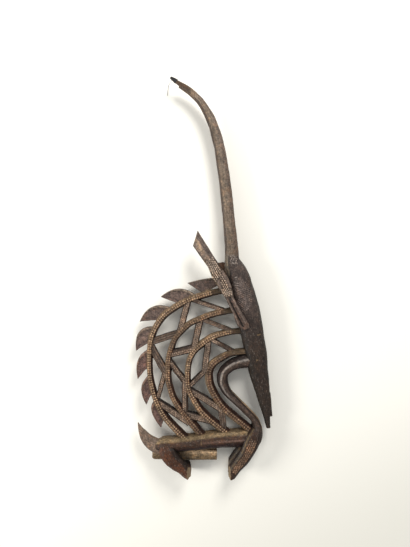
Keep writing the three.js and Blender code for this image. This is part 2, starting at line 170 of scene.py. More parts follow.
# Struts between the arcs, from the outermost gap in: x, y and half width along each one, the share
# of its length that is stippled, and the rows of the stipple across it. Those without any are fluted.
STRUTS = [
    [
        ([(-26, -58, 5), (41, -80, 5)], (0.2, 1), (-0.55, 0.15)),
        ([(-35, -52, 7.4), (-56, -131, 7.4)], (0, 1), (-0.55, -0.05, 0.4)),
        ([(-126, -152, 7.6), (-54, -129, 7.6)], None, ()),
        ([(-124, -150, 7.6), (-82, -224, 7.6)], None, ()),
        ([(-88, -216, 5.5), (-106, -283, 5.5)], (0, 0.8), (-0.3, 0.35)),
        ([(-107, -279, 7.4), (-76, -299, 7.4), (-34, -327, 7.4)], (0, 1), (-0.45, 0.05, 0.5)),
    ],
    [
        ([(-14, -97, 4.8), (60, -126, 4.8)], None, ()),
        ([(-10, -96, 7.6), (-25, -170, 7.6)], (0, 1), (-0.5, 0, 0.5)),
        ([(-80, -177, 8.5), (-22, -163, 8.5)], (0, 1), (-0.55, -0.05)),
        ([(-84, -183, 6.8), (-63, -212, 6.8), (-34, -249, 6.8)], (0, 1), (0, 0.5)),
        ([(-44, -234, 7), (-44, -318, 7)], (0, 1), (-0.4, 0.15)),
        ([(-56, -305, 7.9), (-20, -314, 7.9), (19, -324, 7.9)], (0, 1), (-0.45, 0.05, 0.55)),
    ],
    [
        ([(5, -139, 5), (66, -173, 5)], (0, 0.45), (-0.4, 0.25)),
        ([(9, -135, 7.2), (-1, -216, 7.2)], (0, 1), (-0.55, -0.05, 0.45)),
        ([(14, -199, 5.9), (-41, -253, 5.9)], (0, 1), (-0.35, 0.35)),
        ([(-39, -253, 7.2), (-2, -274, 7.2), (41, -301, 7.2)], (0, 1), (-0.5, 0, 0.5)),
        ([(35, -290, 7.2), (42, -354, 7.2)], None, ()),
    ],
]

# Points of the mane: where the outer edge leaves the arc, the bulge that draws it out,
# the tip, and where the lower edge comes back to the arc.
MANE_POINTS = [
    ((46, -9), (2, -7), (-39, -21), (-9, -40)),
    ((-22, -46), (-59, -18), (-97, -51), (-63, -64)),
    ((-79, -73), (-125, -59), (-143, -105), (-108, -102)),
    ((-112, -117), (-158, -113), (-151, -169), (-126, -153)),
    ((-127, -168), (-159, -185), (-147, -231), (-130, -210)),
    ((-127, -226), (-152, -251), (-128, -287), (-120, -268)),
    ((-113, -281), (-128, -301), (-96, -337), (-91, -322)),
]
MANE_HEART = (-5, -200)

EAR_THICKNESS = 11
MARK_ROOM = 1
EAR_FRONT_EDGE = [
    (-16, 92), (24, 29), (34, 14), (49, -8), (58.5, -32), (61, -51), (67, -63), (94, -108), (95, -116),
]
EAR_BACK_EDGE = [
    (-26, 59), (6, 14), (17, -12), (27, -28), (36, -42), (45, -55), (60, -87), (69, -112), (83, -121),
]

# The ear is plain above HATCH_FROM and hatched down to HATCH_TO, but for two plain strips: start, end
# and half width. Grooves and ridges: start, end, half width and height. An arched recess lies at the
# head of the long groove: x, y, radius and depth. Above the hatching the blade is hollowed.
HATCH_FROM = 32
HATCH_TO = -50
EAR_PLAIN = [((39, 6), (57, -30), 4.6), ((27, -12), (33, -33), 3.2)]
EAR_LINES = [
    ((54, -60), (81, -113), 1.3, -2.2), ((59, -53), (87, -107), 1.3, 0.8), ((49, -58), (72, -110), 1.3, 0.6),
    ((34.5, 2), (36, -33), 0.8, -0.8),
]
EAR_ARCH = (54, -54, 2.6)
EAR_ARCH_DEPTH = 3.2
EAR_HOLLOW = {"length": 95, "depth": 2.2}

# How far a carved stroke reaches, times its half width. It fades over the last whole one.
STROKE_EDGE = 1.6

NOSE_HOLE = (143.5, -307, 1.6)

# Small raised marks: half length, half width and height, the heights over the middle plane of the skin
# that they sit on, and how many sides they have.
MARKS = {
    "bead": ((1.5, 1.6, 1.1), (8.5, 12), 8),
    "bar": ((1.5, 2.1, 1.1), (8.5, 12), 8),
    "dot": ((1.45, 1.3, 0.9), (6.5, 8.8), 8),
    "lozenge": ((2.2, 1.7, 0.9), (25, 31), 6),
    "scale": ((1.9, 1.5, 1), (27, 31), 6),
    "tick": ((2, 0.8, 0.6), (16, 26), 5),
    "eye": ((2, 1.3, 0.9), (16, 26), 6),
    "groove": ((7, 0.9, 0.6), (16, 26), 6),
    "crossed cut": ((2.4, 0.75, 0.8), (15, 26), 5),
}
FAR_MARK_SIDES = 5

# How unevenly the marks were cut: their stray from their places in millimetres, their turn in
# radians, and the ranges of their sizes and shades.
STRAY = 0.3
TURN = 0.12
SIZES = (0.85, 1.12)
SHADES = (0.75, 1.15)

# How deep a mark's foot is sunk, how wide and high its shoulder is, the steepest skin that it may sit
# on, and how far above the carving the search for that skin starts.
FOOT_SUNK = 0.5
SHOULDER = (0.82, 0.75)
STEEPEST = 0.5
LOOK_FROM = 20

# Chips and cracks that show fresh wood: x, y, heading in degrees, half length, half width and depth.
CHIPS = [
    (67, -391.7, 59, 6.2, 1.7, 1.2), (116.5, -131.5, 12, 5.5, 0.9, 0.8), (-8.2, -363, 92, 5.4, 0.9, 1.6),
    (-16, 53, 62, 2.2, 1.3, 0.7), (112, -187, 20, 1.5, 1.1, 0.6), (-31, -361, 75, 2, 0.6, 0.8),
]

THREAD_DIAMETER = 1
THREAD_ROUTE = [
    (-73.5, 426.3, 1.2), (-73.6, 426.4, -3), (-75, 427, -10), (-77.5, 428, -18), (-80, 428.6, -25),
    (-82, 427.4, -28.6), (-83.2, 423.5, -29.4), (-84.2, 415, -29.4), (-85.4, 403, -29.4),
]
BINDING_FROM = 0.885
BINDING_TO = 0.985
BINDING_TURNS = 19


def seen(red, green, blue):
    """Reflectance under its gloss of a surface that shows as this colour where the lights fall on it."""
    def linear(value):
        share = value / 255
        return share / 12.92 if share < 0.04045 else ((share + 0.055) / 1.055) ** 2.4
    return tuple(max(linear(value) - SHINE, 0.003) / (SKY + KEY + FILL) for value in (red, green, blue))


# Tones named shaded, lit or highlight are painted shade and light on the carving's facets and edges, and the
# near-black shade tone is painted shade in grooves and holes.
TONES = {name: seen(*colour) for name, colour in {
    "horn": (128, 112, 96), "shaded horn side": (106, 90, 78), "shaded horn edge": (76, 62, 54), "horn tip": (92, 72, 56),
    "horn band": (150, 124, 100), "lit horn strip": (134, 122, 106), "head": (80, 69, 64),
    "shaded head edge": (58, 52, 48), "muzzle": (58, 49, 43), "shaded muzzle edge": (46, 40, 34), "neck": (82, 68, 60),
    "shaded neck edge": (46, 37, 31), "neck ridge highlight": (146, 136, 128), "lit crown": (142, 122, 94),
    "torso": (72, 53, 42), "torso ridge highlight": (122, 98, 88), "shaded flank": (48, 35, 28), "tail": (122, 104, 90),
    "rod": (114, 95, 72), "worn lit edge": (200, 172, 138), "fore leg": (66, 49, 40), "lit leg rim": (106, 90, 66),
    "shaded leg edge": (52, 40, 34), "hind leg": (90, 60, 45), "worn lit arc rim": (134, 114, 90), "arc": (92, 70, 54),
    "arc low": (76, 52, 41), "shaded arc edge": (50, 37, 29), "arc end": (96, 80, 62), "strut": (74, 60, 51),
    "shaded strut edge": (46, 37, 31), "flute rim": (122, 104, 90), "leaf": (110, 93, 85),
    "leaf rim": (146, 130, 114), "shaded leaf edge": (72, 60, 56), "ear": (140, 122, 108),
    "ear edge": (96, 84, 78), "ear light": (160, 138, 116), "hatch": (62, 51, 44),
    "ear plain": (124, 108, 98), "ear low": (96, 83, 74), "ear foot": (94, 77, 68), "bead": (176, 150, 122),
    "dull bead": (142, 119, 97), "dot": (148, 128, 112), "lozenge": (174, 156, 140), "tick": (116, 104, 99),
    "scratch": (168, 156, 148), "scale": (126, 102, 84), "raw": (150, 124, 92), "stump": (112, 84, 66),
    "pit shade": (30, 24, 20),
}.items()}


def to_frame(points):
    """Drawing points in millimetres as points of the frame in metres."""
    points = np.asarray(points, float)
    return (points + (-DRAWING_MIDDLE[0], -DRAWING_MIDDLE[1], HALF_DEPTH)) * MM


def along(rows, t):
    """Points at the shares t of a smooth curve through rows of numbers."""
    rows = np.asarray(rows, float)
    last = len(rows) - 1
    place = np.clip(np.asarray(t, float), 0, 1) * last
    index = np.minimum(place.astype(int), last - 1)
    f = (place - index)[:, None]
    before = rows[np.maximum(index - 1, 0)]
    start, end = rows[index], rows[index + 1]
    after = rows[np.minimum(index + 2, last)]
    slope_in, slope_out = (end - before) / 2, (after - start) / 2
    rise = end - start
    bend = slope_in + slope_out - 2 * rise
    return start + f * (slope_in + f * (3 * rise - 2 * slope_in - slope_out + f * bend))


def run_of(points):
    """Distance along a line of points, from its start."""
    steps = np.linalg.norm(np.diff(points, axis=0), axis=1)
    return np.concatenate([[0], np.cumsum(steps)])


def evenly(rows, spacing):
    """Shares of a curve's rows that lie a spacing apart along it."""
    t = np.linspace(0, 1, 600)
    run = run_of(along(rows, t)[:, :2])
    return np.interp(np.linspace(0, run[-1], max(2, round(run[-1] / spacing) + 1)), run, t)


def normals_of(line):
    """Unit vectors to the left of a line of x, y points."""
    heading = np.gradient(line, axis=0)
    heading /= np.linalg.norm(heading, axis=1)[:, None]
    return np.stack([-heading[:, 1], heading[:, 0]], 1)


def round_ring(sides, squareness):
    """Ring of a limb: squareness 2 is an ellipse, and higher is squarer."""
    angle = (np.arange(sides) + 0.5) / sides * 2 * math.pi
    c, s = np.cos(angle), np.sin(angle)
    ring = np.stack([np.sign(part) * np.abs(part) ** (2 / squareness) for part in (c, s)], 1)
    return ring / np.abs(ring).max(0)


def faceted_ring(corners, per_side, softness=0.3):
    """Ring of flat facets between corners, with each facet split and each corner eased."""
    corners = np.asarray(corners, float)
    after = np.roll(corners, -1, 0)
    shares = np.arange(per_side) / per_side
    ring = np.concatenate([[a + (b - a) * share for share in shares] for a, b in zip(corners, after)])
    eased = (np.roll(ring, 1, 0) + np.roll(ring, -1, 0)) / 2
    return ring * (1 - softness) + eased * softness


def two_faced(face, per_side, softness):
    """Ring with the same facets on its near and its far face, given from its left side to its right."""
    far = [(across, -deep) for across, deep in reversed(face) if deep > 0]
    return faceted_ring([*face, *far], per_side, softness)


TORSO_RING = two_faced(
    [(1, 0), (0.95, 0.5), (0.6, 0.86), (0.1, 1), (-0.55, 0.8), (-0.92, 0.45), (-1, 0)], 5, 0.2)
NECK_RING = two_faced(
    [(1, 0), (0.9, 0.55), (0.5, 0.86), (-0.16, 1), (-0.5, 0.84), (-0.92, 0.5), (-1, 0)], 4, 0.2)
HORN_RING = faceted_ring([
    (1, -0.6), (1, 0.1), (0.86, 0.66), (0.5, 1), (-0.42, 1), (-0.82, 0.7), (-1, 0.2),
    (-1, -0.6), (-0.7, -1), (0.7, -1),
], 5)
HEAD_RING = round_ring(56, 3)
BAR_RING = two_faced([(1, 0), (1, 0.7), (0.7, 1), (0, 1), (-0.7, 1), (-1, 0.7), (-1, 0)], 2, 0.25)
LEG_RING = two_faced([(1, 0), (1, 0.6), (0.6, 1), (0, 1), (-0.55, 1), (-1, 0.6), (-1, 0)], 4, 0.15)
ARC_RING = two_faced([(1, 0), (1, 0.3), (0.5, 1), (-0.06, 1), (-0.62, 1), (-1, 0.62), (-1, 0)], 2, 0.12)
FLUTED_RING = two_faced(
    [(1, 0), (1, 0.7), (0.74, 1), (0.34, 0.86), (0.04, 1), (-0.3, 0.86), (-0.7, 1), (-1, 0.7), (-1, 0)],
    2, 0.1)


class Shape:
    """Closed skin in the drawing. Each point has a colour, a run along and round the grain, and a share
    of bare broken wood."""

    def __init__(self, points, faces, tone, flow, raw=0.0):
        self.points = np.asarray(points, float)
        self.faces = faces
        self.tone = np.broadcast_to(np.asarray(tone, float), (len(self.points), 3)).copy()
        self.flow = np.c_[np.asarray(flow, float) * MM, np.full(len(self.points), raw)]


def banded(ring, tone, *blends):
    """Colour of each place on a ring by how far across it lies, from the right edge at -1 to the left at 1.
    Each blend says where it starts, where it ends and which tone it leads to."""
    stops = {}
    for start, end, name in blends:
        stops.setdefault(start, TONES[tone])
        stops[end] = TONES[name]
        tone = name
    across = np.asarray(ring)[..., 0]
    return np.stack([np.interp(across, list(stops), channel) for channel in zip(*stops.values())], -1)


def fade(first, second, share):
    """Colours that go from the first to the second with the share."""
    first, second = np.asarray(first, float), np.asarray(second, float)
    return first + (second - first) * np.clip(share, 0, 1)[..., None]


def ring_faces(steps, sides):
    """Faces of a skin drawn over rings of points, closed at both ends."""
    faces = []
    for first in range(0, (steps - 1) * sides, sides):
        for side in range(sides):
            a, b = first + side, first + (side + 1) % sides
            faces.append((a, b, b + sides, a + sides))
    return [*faces, tuple(reversed(range(sides))), tuple(range((steps - 1) * sides, steps * sides))]


def prism(outline, half_height, tone):
    """Upright block with the given outline about the middle plane."""
    count = len(outline)
    points = np.concatenate([np.c_[outline, np.full(count, z)] for z in (-half_height, half_height)])
    return Shape(points, ring_faces(2, count), TONES[tone], points[:, :2])


def skin(line, half, depth, height, ring, tone, relief=None):
    """Skin drawn over rings that stand across a line. half reaches from the line to the ring's side."""
    steps = len(line)
    rings = np.broadcast_to(ring, (steps, *np.shape(ring)[-2:]))
    sides = rings.shape[1]
    width = np.linalg.norm(half, axis=1)
    across = half / width[:, None]
    a = rings[..., 0] * width[:, None]
    d = rings[..., 1] * np.broadcast_to(depth, steps)[:, None]
    run = run_of(line)[:, None] + np.zeros(sides)
    around = np.cumsum(np.hypot(np.roll(a, -1, 1) - a, np.roll(d, -1, 1) - d), 1)
    if relief is not None:
        push = relief(run, around)
        tangent_a = np.roll(a, -1, 1) - np.roll(a, 1, 1)
        tangent_d = np.roll(d, -1, 1) - np.roll(d, 1, 1)
        size = np.hypot(tangent_a, tangent_d) + 1e-9
        a, d = a + push * tangent_d / size, d - push * tangent_a / size
    x = line[:, :1] + across[:, :1] * a
    y = line[:, 1:2] + across[:, 1:2] * a
    z = np.clip(np.broadcast_to(height, steps)[:, None] + d, -HALF_DEPTH, HALF_DEPTH)
    points = np.stack([x, y, z], -1).reshape(-1, 3)
    tone = np.broadcast_to(tone, (steps, sides, 3)).reshape(-1, 3)
    return Shape(points, ring_faces(steps, sides), tone, np.stack([run, around], -1).reshape(-1, 2))


def sweep(rows, spacing, ring, tone, relief=None):
    """Skin swept along rows of x, y, half width, half depth and height."""
    t = evenly(rows, spacing if FINE else 2 * spacing)
    row = along(rows, t)
    line = row[:, :2]
    half = normals_of(line) * row[:, 2:3]
    return skin(line, half, row[:, 3], row[:, 4], ring, tone(t, line) if callable(tone) else tone, relief)


def mirrored(rows):
    return [(x, y, width, depth, -height) for x, y, width, depth, height in rows]


def wavering(places, seed):
    """Smooth noise at places given as two arrays."""
    first, second = np.broadcast_arrays(*places)
    values = [noise.noise(Vector((a, b, seed))) for a, b in zip(first.ravel(), second.ravel())]
    return np.array(values).reshape(first.shape)


def ripple(scale_run, scale_around, size, seed):
    """Relief of shallow cuts, longer along the run than around it."""
    def relief(run, around):
        return wavering((run / scale_run, around / scale_around), seed) * size
    return relief


def gouged(size, slant, seed):
    """Relief of short slanting gouge cuts over longer hollows."""
    def relief(run, around):
        cut = wavering(((run + slant * around) / 8, (around - slant * run * 0.3) / 2.4), seed)
        hollow = wavering((run / 30, around / 9), seed + 7)
        return (0.7 * cut - 0.3 * np.abs(cut) + hollow) * size
    return relief


def horns():
    """The near horn to its tip, and the far one, broken off a little short of it."""
    def tone(_t, line):
        # Painted shade darkens the horn's steep sides. At its foot a painted highlight lightens the bevel
        # strip beside a line painted near black as shade.
        body = banded(
            HORN_RING, "shaded horn edge", (-1, -0.84, "shaded horn side"), (-0.3, -0.16, "horn"),
            (0.72, 0.92, "shaded horn edge"))
        foot = banded(HORN_RING, "head", (0.5, 0.58, "pit shade"), (0.58, 0.68, "lit horn strip"))
        x, y = line[:, :1], line[:, 1:]
        body = fade(body, foot, (HORN_PLAIN_BELOW - y) / 10)
        body = fade(body, TONES["horn band"], (1 - np.abs(x - HORN_BAND_X) / 9) * (y > HORN_BEND))
        return fade(body, TONES["horn tip"], (HORN_TIP_X - x) / 1.5)
    near = sweep([HORN_FOOT, *HORN], 2.6, HORN_RING, tone, gouged(0.7, 0.5, 3))
    # Painted shade: the far horn is painted throughout in the tone of the near horn's shaded sides.
    far_rows = mirrored([HORN_FOOT, *HORN[:FAR_HORN_ROWS]])
    return [near, sweep(far_rows, 5, BAR_RING, TONES["shaded horn side"], ripple(14, 6, 0.4, 9))]


def head():
    def tone(_t, line):
        # Painted shade darkens the steep sides of the skull and the muzzle.
        skull = banded(HEAD_RING, "shaded head edge", (-1, -0.8, "head"), (0.74, 0.9, "shaded head edge"))
        muzzle = banded(HEAD_RING, "shaded muzzle edge", (-0.66, -0.55, "muzzle"), (0.74, 0.9, "shaded muzzle edge"))
        return fade(skull, muzzle, (-60 - line[:, 1:2]) / 120)

    def cuts(run, around):
        return ripple(46, 2.8, 0.4, 15)(run, around) + ripple(18, 13, 0.5, 21)(run, around)
    skull = sweep(HEAD, 2.8, HEAD_RING, tone, cuts)
    nose = sweep(NOSE, 4, BAR_RING, TONES["muzzle"], ripple(20, 3, 0.3, 25))
    return [skull, nose]


def neck():
    def tone(t, _line):
        # Painted light: a highlight along the neck's ridge at its bend and a worn and lit line along its
        # slope, with its steep sides painted in shade.
        bend = banded(
            NECK_RING, "shaded neck edge", (-0.5, -0.38, "neck ridge highlight"), (-0.2, -0.08, "neck"),
            (0.45, 0.6, "shaded neck edge"))
        slope = banded(
            NECK_RING, "shaded neck edge", (-1, -0.45, "neck"), (0.5, 0.62, "shaded neck edge"), (0.86, 1, "worn lit edge"))
        return fade(bend, slope, (t[:, None] - 0.5) / 0.12)
    return sweep(NECK, 3, NECK_RING, tone, ripple(30, 3, 0.4, 31))


def torso():
    def tone(_t, line):
        # Painted light: a lit band along the top, a highlight on the ridge of the near face, and painted
        # shade on the underside.
        plain = banded(TORSO_RING, "shaded flank", (-0.35, -0.2, "torso"), (0.6, 0.72, "lit crown"))
        ridged = banded(
            TORSO_RING, "shaded flank", (-0.3, -0.1, "torso"), (0, 0.1, "torso ridge highlight"), (0.1, 0.24, "torso"),
            (0.6, 0.72, "lit crown"))
        x = line[:, :1]
        tone = fade(plain, ridged, (x + 20) / 40)
        # The torso's lower edge is painted lighter, partly for wear and partly as a painted highlight.
        worn_lit_edge = np.clip(np.minimum(x + 64, 32 - x) / 8, 0, 1) * (np.abs(TORSO_RING[:, 0] + 0.92) < 0.07)
        return fade(tone, TONES["worn lit edge"], worn_lit_edge)
    body = sweep(TORSO, 3, TORSO_RING, tone, ripple(30, 3.4, 0.6, 41))
    tail = sweep(TAIL, 3, BAR_RING, TONES["tail"], ripple(14, 4, 0.5, 51))
    # The rod's upper side carries a light line, partly wear and partly a painted highlight.
    rod_tone = banded(BAR_RING, "rod", (0.3, 0.42, "worn lit edge"))
    rod = sweep(BELLY_ROD, 3, BAR_RING, rod_tone, ripple(26, 3, 0.4, 57))
    return [body, tail, rod]


def arcs():
    """The mane's arcs: a bevel outside, painted lighter for wear and as a painted highlight, a face for the
    beads, and a steep bevel inside painted in shade.
    """
    high, low = (
        banded(ARC_RING, "worn lit arc rim", (-0.7, -0.6, ground), (0.46, 0.56, "shaded arc edge"), (0.9, 1, ground))
        for ground in ("arc", "arc low"))
    shapes = []
    for number, arc in enumerate(ARCS):
        rows = [(x, y, width, ARC_HALF_DEPTH, 0) for x, y, width in arc["line"]]

        def tone(_t, line, start=arc["beads_from"]):
            plain = (line[:, 0] - start) / 10 * (line[:, 1] > -200)
            face = fade(high, low, (-130 - line[:, 1:]) / 100)
            return fade(face, TONES["arc end"], plain[:, None] * (ARC_RING[:, 0] < 0.5))
        shapes.append(sweep(rows, 3.2, ARC_RING, tone, ripple(15, 5, 0.4, 70 + number)))
    return shapes


def gap_slab(outer, inner):
    """Slab that fills the gap between the centre lines of two neighbouring arcs."""
    t = np.linspace(0, 1, 60)
    outer_line, inner_line = along(outer["line"], t)[:, :2], along(inner["line"], t)[:, :2]
    return prism(np.concatenate([outer_line, inner_line[::-1]]), STRUT_HALF_DEPTH + 2, "strut")


def strut_shapes(gap):
    """Struts of one gap: flat where they are stippled, and fluted where they aren't."""
    # Painted shade darkens the struts' steep edges and the grooves of their fluting.
    flat = banded(BAR_RING, "shaded strut edge", (-1, -0.75, "strut"), (0.75, 1, "shaded strut edge"))
    fluted = banded(
        FLUTED_RING, "shaded strut edge", (-1, -0.7, "flute rim"), (-0.7, -0.3, "strut"), (-0.3, 0.04, "flute rim"),
        (0.04, 0.34, "shaded strut edge"), (0.34, 0.7, "flute rim"), (0.7, 1, "shaded strut edge"))
    shapes = []
    for number, (line, stippled, _rows) in enumerate(STRUTS[gap]):
        rows = [(x, y, width, STRUT_HALF_DEPTH, 0) for x, y, width in line]
        ring, tone = (BAR_RING, flat) if stippled else (FLUTED_RING, fluted)
        shapes.append(sweep(rows, 4, ring, tone, ripple(12, 5, 0.45, 90 + 10 * gap + number)))
    return shapes


def leaf(corners):
    """Flat point of the mane with a raised rim round a sunk field."""
    rim, bevel, sunk = 3.4, 1.2, 0.9
    root, bulge, tip, notch = (np.array(corner, float) for corner in corners)
    heart = np.array(MANE_HEART, float)
    t = 1 - (1 - np.linspace(0, 0.985, 22 if FINE else 9)) ** 1.25
    outer = ((1 - t) ** 2)[:, None] * root + (2 * t * (1 - t))[:, None] * bulge + (t ** 2)[:, None] * tip
    inner = notch + (tip - notch) * t[:, None]
    start = [end + (heart - end) / np.linalg.norm(heart - end) * POINT_EMBED for end in (root, notch)]
    outer, inner = np.vstack([start[0], outer]), np.vstack([start[1], inner])
    line, half = (outer + inner) / 2, (inner - outer) / 2
    width = np.linalg.norm(half, axis=1)
    rings = []
    for reach in width:
        edge = min(bevel / reach, 0.45)
        inside = 1 - min(rim / reach, 0.8)
        floor = 1 - sunk / POINT_HALF_DEPTH * min(1, reach / 6)
        face = [
            (1, 0.72), (1 - edge, 1), (inside, 1), (inside * 0.8, floor), (inside * 0.4, floor), (0, floor),
            (-inside * 0.4, floor), (-inside * 0.8, floor), (-inside, 1), (-1 + edge, 1), (-1, 0.72)]
        rings.append([*face, *[(across, -deep) for across, deep in reversed(face)]])
    names = [
        # Painted shade darkens the sides of each point and the foot of its rim round the sunk field.
        "shaded leaf edge", "leaf", "leaf", "shaded leaf edge", "leaf", "leaf", "leaf", "shaded leaf edge", "leaf rim", "leaf rim",
        "shaded leaf edge"]
    tone = np.array([TONES[name] for name in [*names, *reversed(names)]])
    ruddy = np.clip((-130 - line[:, 1]) / 60, 0, 1)[:, None] * np.ones(len(tone))
    tone = fade(tone, tone * (1.02, 0.84, 0.84), ruddy)
    return skin(line, half, POINT_HALF_DEPTH, 0, np.array(rings), tone, ripple(13, 4, 0.35, root[0]))


def stroke(places, start, end, half_width):
    """How far each place lies inside a stroke: 1 along its middle, and 0 outside."""
    start, end = np.array(start, float), np.array(end, float)
    length = np.linalg.norm(end - start)
    heading = (end - start) / length
    reach = (places - start) @ heading
    off = np.abs((places - start) @ (-heading[1], heading[0]))
    return np.where((reach > 0) & (reach < length), np.clip(STROKE_EDGE - off / half_width, 0, 1), 0)


def spot(places, x, y, radius):
    """How far each place lies inside a round spot: 1 in its middle, and 0 outside."""
    return np.clip(STROKE_EDGE - np.linalg.norm(places - (x, y), axis=-1) / radius, 0, 1)


def ear_edges(spacing):
    """Points along the ear's front and back edges, which turn only at their corners."""
    front, back = np.array(EAR_FRONT_EDGE, float), np.array(EAR_BACK_EDGE, float)
    shares = [0.0]
    for number, length in enumerate(np.linalg.norm(np.diff(front, axis=0), axis=1)):
        pieces = max(1, round(length / spacing))
        shares += [number + (piece + 1) / pieces for piece in range(pieces)]
    corners = np.arange(len(front))
    return [np.stack([np.interp(shares, corners, edge[:, k]) for k in (0, 1)], 1) for edge in (front, back)]


def ear_tone(places, rings):
    """Grey-brown above, dark where it is hatched, and brown at its root, with its groove and arched recess
    painted near black as shade.
    """
    y = places[..., 1]
    # Painted shade darkens the ear's back edge, and where it is hatched a painted highlight lightens the rim
    # beside it.
    upper = banded(
        rings, "shaded head edge", (-1, -0.86, "ear edge"), (-0.86, -0.7, "ear"), (0, 0.3, "ear edge"))
    upper = fade(upper, TONES["ear light"], stroke(places, (-20, 72), (-6, 46), 2.8))
    hatched = banded(rings, "shaded head edge", (-1, -0.92, "lit leg rim"), (-0.8, -0.7, "hatch"))
    hatched = fade(hatched, TONES["ear low"], (-30 - y) / 8)
    for start, end, half_width in EAR_PLAIN:
        hatched = fade(hatched, TONES["ear plain"], stroke(places, start, end, half_width))
    foot = banded(rings, "shaded head edge", (-1, -0.8, "ear foot"), (0.7, 1, "ear edge"))
    tone = fade(upper, hatched, (HATCH_FROM - y) / 5)
    tone = fade(tone, foot, (HATCH_TO - y) / 3)
    # Grooves are painted near black as shade, and ridges take the plain tone.
    for start, end, half_width, height in EAR_LINES:
        name = "pit shade" if height < 0 else "ear plain"
        tone = fade(tone, TONES[name], stroke(places, start, end, half_width))
    return fade(tone, TONES["pit shade"], spot(places, *EAR_ARCH))


def ear(side):
    """Blade that leans on the cheek: hollow above, and a ridged and grooved root below."""
    front, back = ear_edges(2.2 if FINE else 6)
    line, half = (front + back) / 2, (front - back) / 2
    face = [(across, 1) for across in np.linspace(0.9, -0.9, 23)]
    back_face = [(-1, 0.6), (-1, 0), (-1, -0.7), (-0.8, -1), (0.8, -1), (1, -0.7)]
    ring = faceted_ring([(1, 0), (1, 0.6), *face, *back_face], 1, 0.1)
    rings = np.broadcast_to(ring, (len(line), *ring.shape))
    places = line[:, None] + half[:, None] * rings[..., :1]
    tone = ear_tone(places, rings)

    def relief(run, around):
        across = np.clip(rings[..., 0], -1, 1)
        cut = -np.clip(1 - run / EAR_HOLLOW["length"], 0, 1) * (1 - across ** 2) * EAR_HOLLOW["depth"]
        for start, end, half_width, height in EAR_LINES:
            cut = cut + height * stroke(places, start, end, half_width)
        cut = cut - EAR_ARCH_DEPTH * spot(places, *EAR_ARCH)
        return np.where(rings[..., 1] > 0.9, cut, 0) + ripple(11, 3, 0.4, 113)(run, around)
    half_depth = EAR_THICKNESS / 2
    shape = skin(line, half, half_depth, HALF_DEPTH - MARK_ROOM - half_depth, ring, tone, relief)
    if side < 0:
        shape.points[:, 2] *= -1
        shape.faces = [tuple(reversed(face)) for face in shape.faces]
    return shape


def beyond(place, normal, tone):
    """Block of all that lies past a plane. Its near face is splintered, to leave broken wood behind."""
    reach, pitch, rough = 58, 1.8 if FINE else 6, 0.7
    out = np.array(normal, float) / np.linalg.norm(normal)
    aside = np.cross(out, (0, 0, 1))
    aside /= np.linalg.norm(aside)
    up = np.cross(aside, out)
    steps = np.arange(-reach, reach + pitch, pitch)
    count = len(steps)
    u, v = np.meshgrid(steps, steps, indexing="ij")
    splinter = (wavering((u / 1.6, v / 5), 7) + wavering((u / 6, v / 6), 17)) * rough
    flat = np.array(place, float) + u[..., None] * aside + v[..., None] * up
    near = (flat + splinter[..., None] * out).reshape(-1, 3)
    far = (flat + 2 * reach * out).reshape(-1, 3)
    faces = []
    for i in range(count - 1):
        for j in range(count - 1):
            a = i * count + j
            faces.append((a, a + count, a + count + 1, a + 1))
            faces.append(tuple(count * count + k for k in (a, a + 1, a + count + 1, a + count)))
    loop = [*range(count), *range(2 * count - 1, count * count, count)]
    loop += [*range(count * count - 2, count * (count - 1) - 1, -1), *range(count * (count - 2), 0, -count)]
    for a, b in zip(loop, loop[1:] + loop[:1]):
        faces.append((a, b, b + count * count, a + count * count))
    flow = np.concatenate([np.c_[u.ravel(), v.ravel()]] * 2)
    return Shape(np.concatenate([near, far]), faces, TONES[tone], flow, raw=1.0)


def to_object(name, shapes):
    """One Blender object that holds closed shapes, with their colour and grain as attributes."""
    points, faces, tones, flows = [], [], [], []
    for shape in shapes:
        first = sum(len(p) for p in points)
        points.append(shape.points)
        tones.append(shape.tone)
        flows.append(shape.flow)
        faces += [tuple(first + i for i in face) for face in shape.faces]
    mesh = bpy.data.meshes.new(name)
    mesh.from_pydata(to_frame(np.concatenate(points)).tolist(), [], faces)
    write_vectors(mesh, "tone", np.concatenate(tones))
    write_vectors(mesh, "flow", np.concatenate(flows))
    return link(bpy.data.objects.new(name, mesh))


def write_vectors(mesh, name, values):
    attribute = mesh.attributes.get(name) or mesh.attributes.new(name, "FLOAT_VECTOR", "POINT")
    attribute.data.foreach_set("vector", np.asarray(values, np.float32).ravel())


def read(items, field, width, kind=np.float32):
    """Values of a mesh's points, edges or triangles, one row for each."""
    values = np.zeros(len(items) * width, kind)
    items.foreach_get(field, values)
    return values.reshape(-1, width)


def points_of(mesh):
    return read(mesh.vertices, "co", 3)


def link(piece):
    bpy.context.scene.collection.objects.link(piece)
    return piece


def combine(piece, others, operation):
    """piece joined with, cut by or kept inside other solids, which are used up."""
    group = bpy.data.collections.new("others")
    bpy.context.scene.collection.children.link(group)
    for other in others:
        bpy.context.scene.collection.objects.unlink(other)
        group.objects.link(other)
    modifier = piece.modifiers.new("combine", "BOOLEAN")
    modifier.operation = operation
    modifier.solver = "MANIFOLD"
    modifier.operand_type = "COLLECTION"
    modifier.collection = group
    mesh = bpy.data.meshes.new_from_object(piece.evaluated_get(bpy.context.evaluated_depsgraph_get()))
    piece.modifiers.clear()
    old = piece.data
    piece.data = mesh
    bpy.data.meshes.remove(old)
    for other in others:
        bpy.data.objects.remove(other)
    bpy.data.collections.remove(group)
    return piece


def joined(name, shapes):
    """One solid of shapes that run into each other."""
    first, *others = [to_object(f"{name}_{number}", [shape]) for number, shape in enumerate(shapes)]
    if others:
        combine(first, others, "UNION")
    first.name = name
    return first


def cut(piece, shapes):
    cutters = [to_object(f"cutter_{number}", [shape]) for number, shape in enumerate(shapes)]
    return combine(piece, cutters, "DIFFERENCE")


